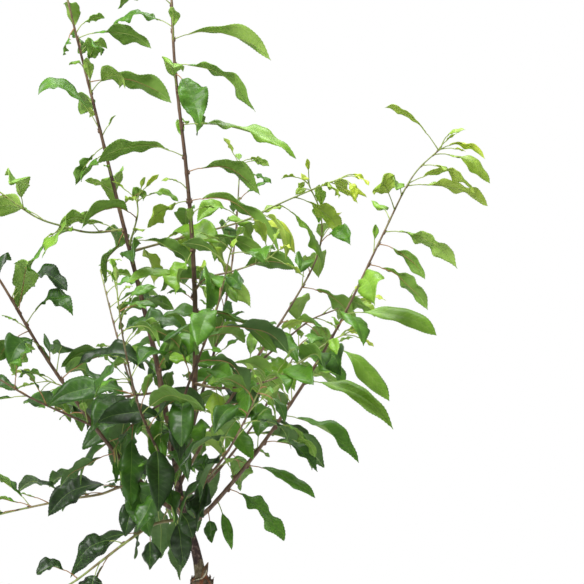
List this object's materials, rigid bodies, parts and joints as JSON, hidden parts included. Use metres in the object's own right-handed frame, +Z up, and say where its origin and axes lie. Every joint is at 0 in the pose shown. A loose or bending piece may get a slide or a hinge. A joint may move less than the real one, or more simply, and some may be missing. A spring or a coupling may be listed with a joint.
{
  "type": "young plum tree",
  "caption": "Young grafted plum tree with a leaning trunk, thin upright and spreading shoots, and long pointed drooping leaves.",
  "frame": {"origin": "centre of the flat cut at the foot of the trunk, at ground level", "axes": "+Z up along the plant's height, +X to the right as the plant is seen from its front, -Y towards that viewer"},
  "size_m": [0.7568, 0.462, 1.0101],
  "materials": {
    "trunk_bark": "rough brown-grey bark",
    "shoot_bark": "smooth satin young bark",
    "leaves": "satin leaf"
  },
  "bodies": {
    "root": {"trunk": "trunk_bark", "bough_left_upright": "shoot_bark", "bough_leader": "shoot_bark", "bough_left": "shoot_bark", "bough_left_low": "shoot_bark", "bough_left_hanging": "shoot_bark", "bough_right": "shoot_bark", "bough_right_inner": "shoot_bark", "bough_back": "shoot_bark", "bough_back_left": "shoot_bark", "bough_back_right": "shoot_bark", "bough_back_low": "shoot_bark", "bough_front": "shoot_bark", "bough_front_left": "shoot_bark", "bough_front_right": "shoot_bark", "bough_front_low": "shoot_bark", "foliage_left_upright": "leaves", "foliage_leader": "leaves", "foliage_left": "leaves", "foliage_left_low": "leaves", "foliage_left_hanging": "leaves", "foliage_right": "leaves", "foliage_right_inner": "leaves", "foliage_back": "leaves", "foliage_back_left": "leaves", "foliage_back_right": "leaves", "foliage_back_low": "leaves", "foliage_front": "leaves", "foliage_front_left": "leaves", "foliage_front_right": "leaves", "foliage_front_low": "leaves"}
  },
  "joints": []
}
